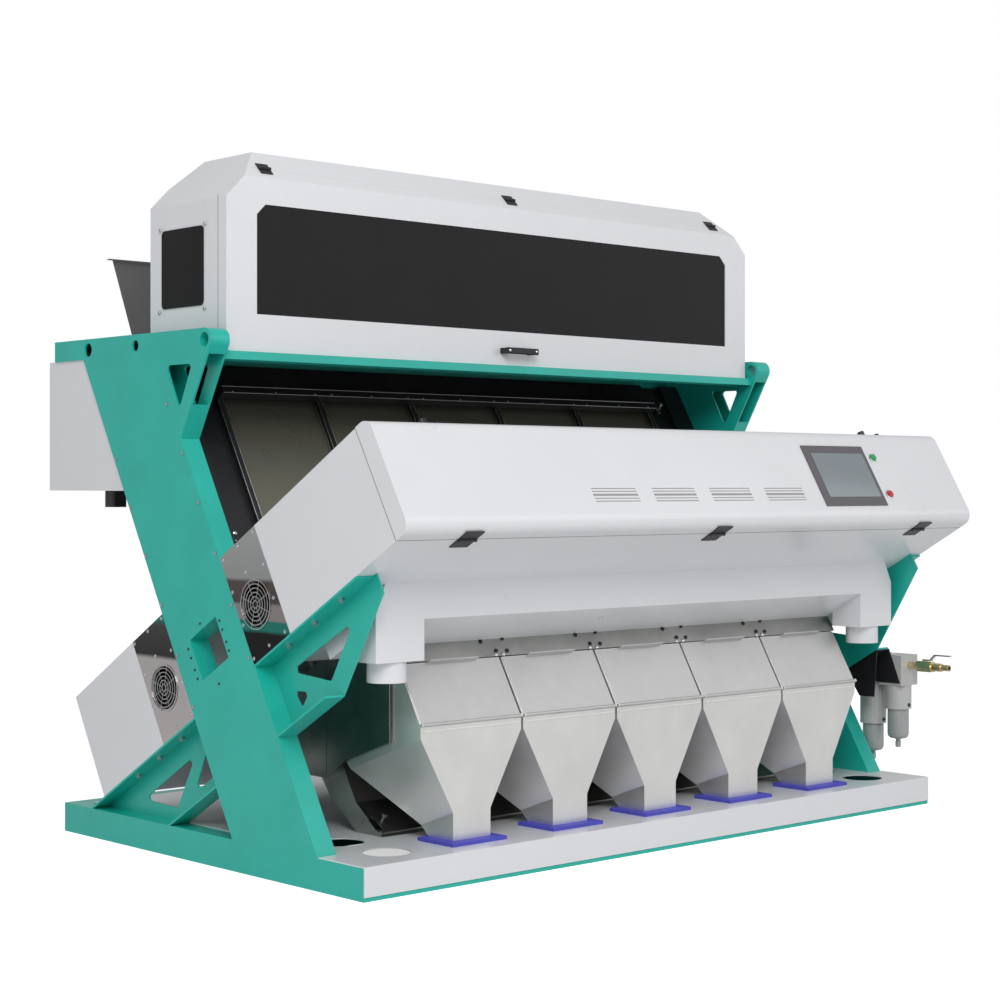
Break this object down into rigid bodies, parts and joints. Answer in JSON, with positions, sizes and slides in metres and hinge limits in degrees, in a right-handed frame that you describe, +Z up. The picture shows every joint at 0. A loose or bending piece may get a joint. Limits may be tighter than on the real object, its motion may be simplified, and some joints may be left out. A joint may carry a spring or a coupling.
{
  "type": "tea sorting machine",
  "caption": "Chute-fed optical sorter for tea: leaning frames carry a hood with a window, slanted optical boxes, a dust duct and stainless outlet hoppers on a base tray.",
  "frame": {"origin": "centre of the base frame's underside, on the floor", "axes": "+X to the right along the machine, +Y to the rear, +Z up; the operator stands at -Y"},
  "size_m": [2.499, 1.7814, 2.031],
  "materials": {
    "green_paint": "satin",
    "white_paint": "gloss",
    "black_paint": "satin",
    "grey_paint": "satin",
    "brushed_stainless": "brushed",
    "bright_steel": "polished",
    "zinc_steel": "satin",
    "bronze_sheet": "satin",
    "aluminium": "satin",
    "dark_glass": "polished",
    "blue_rubber": "matt",
    "panel_plastic": "satin",
    "black_plastic": "satin",
    "green_button": "gloss",
    "red_button": "gloss",
    "filter_plastic": "gloss",
    "bowl_plastic": "gloss",
    "brass": "satin",
    "lamp_glass": "gloss"
  },
  "bodies": {
    "machine": {"base_frame": "green_paint", "base_tray": "white_paint", "left_side_frame": "green_paint", "right_side_frame": "green_paint", "column_covers": "green_paint", "frame_bolts": "zinc_steel", "box_arms": "green_paint", "crossbeams": "green_paint", "hood_shell": "white_paint", "window_panes": "dark_glass", "feed_hopper": "grey_paint", "vibrators": "grey_paint", "chute_slides": "bronze_sheet", "chute_frames": "black_paint", "front_box_shell": "white_paint", "rear_box_shell": "white_paint", "side_strips": "brushed_stainless", "fan_guards": "zinc_steel", "fan_housings": "black_plastic", "hinge_leaves": "black_paint", "dust_duct": "white_paint", "outlet_pads": "blue_rubber", "reject_duct": "brushed_stainless", "chamber_panels": "brushed_stainless", "ejector_manifold": "aluminium", "lamp_tubes": "lamp_glass", "cameras": "black_paint", "electrical_cabinet": "white_paint", "power_inlet": "black_plastic", "air_bracket": "green_paint", "air_filters": "filter_plastic", "filter_bowls": "bowl_plastic", "ball_valve": "brass", "outlet_hopper_1": "brushed_stainless", "outlet_hopper_2": "brushed_stainless", "outlet_hopper_3": "brushed_stainless", "outlet_hopper_4": "brushed_stainless", "outlet_hopper_5": "brushed_stainless"},
    "front_cover": {"front_cover": "white_paint", "touch_screen": "panel_plastic", "cover_hinges": "black_paint"},
    "start_button": {"start_button": "green_button"},
    "stop_button": {"stop_button": "red_button"},
    "left_latch": {"left_latch": "black_plastic"},
    "right_latch": {"right_latch": "black_plastic"},
    "hood_door": {"hood_door": "white_paint", "hood_glass": "dark_glass", "hood_fittings": "black_paint"},
    "left_front_fan": {"left_front_fan": "black_plastic"},
    "left_rear_fan": {"left_rear_fan": "black_plastic"},
    "feeder_trays": {"feeder_trays": "brushed_stainless"},
    "reject_flap": {"reject_flap": "brushed_stainless"},
    "cabinet_door": {"cabinet_door": "white_paint"},
    "valve_lever": {"valve_lever": "zinc_steel"},
    "clamp_lever": {"clamp_lever": "bright_steel"},
    "outlet_door_1": {"outlet_door_1": "brushed_stainless"},
    "outlet_door_2": {"outlet_door_2": "brushed_stainless"},
    "outlet_door_3": {"outlet_door_3": "brushed_stainless"},
    "outlet_door_4": {"outlet_door_4": "brushed_stainless"},
    "outlet_door_5": {"outlet_door_5": "brushed_stainless"}
  },
  "joints": [
    {"name": "front_cover_hinge", "type": "hinge", "parent": "machine", "child": "front_cover", "pos_m": [0, -0.86664, 0.91893], "axis": [1, 0, 0], "range_deg": [0, 100]},
    {"name": "start_button_press", "type": "slide", "parent": "front_cover", "child": "start_button", "axis": [0, 0.866, -0.5], "range_m": [0, 0.003], "stiffness_N_per_m": 400, "springref_m": -0.001},
    {"name": "stop_button_press", "type": "slide", "parent": "front_cover", "child": "stop_button", "axis": [0, 0.866, -0.5], "range_m": [0, 0.003], "stiffness_N_per_m": 400, "springref_m": -0.001},
    {"name": "left_latch_turn", "type": "hinge", "parent": "machine", "child": "left_latch", "pos_m": [-0.94, -0.67874, 1.19439], "axis": [0, 0.5, 0.866], "range_deg": [0, 90]},
    {"name": "right_latch_turn", "type": "hinge", "parent": "machine", "child": "right_latch", "pos_m": [0.94, -0.67874, 1.19439], "axis": [0, 0.5, 0.866], "range_deg": [-90, 0]},
    {"name": "hood_door_hinge", "type": "hinge", "parent": "machine", "child": "hood_door", "pos_m": [0, 0.01882, 1.97818], "axis": [-1, 0, 0], "range_deg": [0, 100]},
    {"name": "left_front_fan_spin", "type": "hinge", "parent": "machine", "child": "left_front_fan", "pos_m": [-1.17, -0.26661, 0.73821], "axis": [1, 0, 0], "continuous": true},
    {"name": "left_rear_fan_spin", "type": "hinge", "parent": "machine", "child": "left_rear_fan", "pos_m": [-1.17, 0.18112, 0.47971], "axis": [1, 0, 0], "continuous": true},
    {"name": "feeder_shake", "type": "slide", "parent": "machine", "child": "feeder_trays", "axis": [0, 1, 0], "range_m": [-0.0015, 0.0015], "stiffness_N_per_m": 40000},
    {"name": "reject_flap_hinge", "type": "hinge", "parent": "machine", "child": "reject_flap", "pos_m": [0, -0.41599, 0.10086], "axis": [1, 0, 0], "range_deg": [0, 100]},
    {"name": "cabinet_door_hinge", "type": "hinge", "parent": "machine", "child": "cabinet_door", "pos_m": [0, 0.812, 1.448], "axis": [1, 0, 0], "range_deg": [0, 90]},
    {"name": "valve_lever_turn", "type": "hinge", "parent": "machine", "child": "valve_lever", "pos_m": [1.25, -0.69, 0.46], "axis": [0, 0, 1], "range_deg": [0, 90]},
    {"name": "clamp_lever_turn", "type": "hinge", "parent": "machine", "child": "clamp_lever", "pos_m": [0.972, 0.2397, 1.35117], "axis": [0, 0.866, -0.5], "range_deg": [0, 90]},
    {"name": "outlet_door_1_hinge", "type": "hinge", "parent": "machine", "child": "outlet_door_1", "pos_m": [-0.748, -0.64276, 0.42121], "axis": [1, 0, 0], "range_deg": [0, 140]},
    {"name": "outlet_door_2_hinge", "type": "hinge", "parent": "machine", "child": "outlet_door_2", "pos_m": [-0.374, -0.64276, 0.42121], "axis": [1, 0, 0], "range_deg": [0, 140]},
    {"name": "outlet_door_3_hinge", "type": "hinge", "parent": "machine", "child": "outlet_door_3", "pos_m": [0, -0.64276, 0.42121], "axis": [1, 0, 0], "range_deg": [0, 140]},
    {"name": "outlet_door_4_hinge", "type": "hinge", "parent": "machine", "child": "outlet_door_4", "pos_m": [0.374, -0.64276, 0.42121], "axis": [1, 0, 0], "range_deg": [0, 140]},
    {"name": "outlet_door_5_hinge", "type": "hinge", "parent": "machine", "child": "outlet_door_5", "pos_m": [0.748, -0.64276, 0.42121], "axis": [1, 0, 0], "range_deg": [0, 140]}
  ]
}
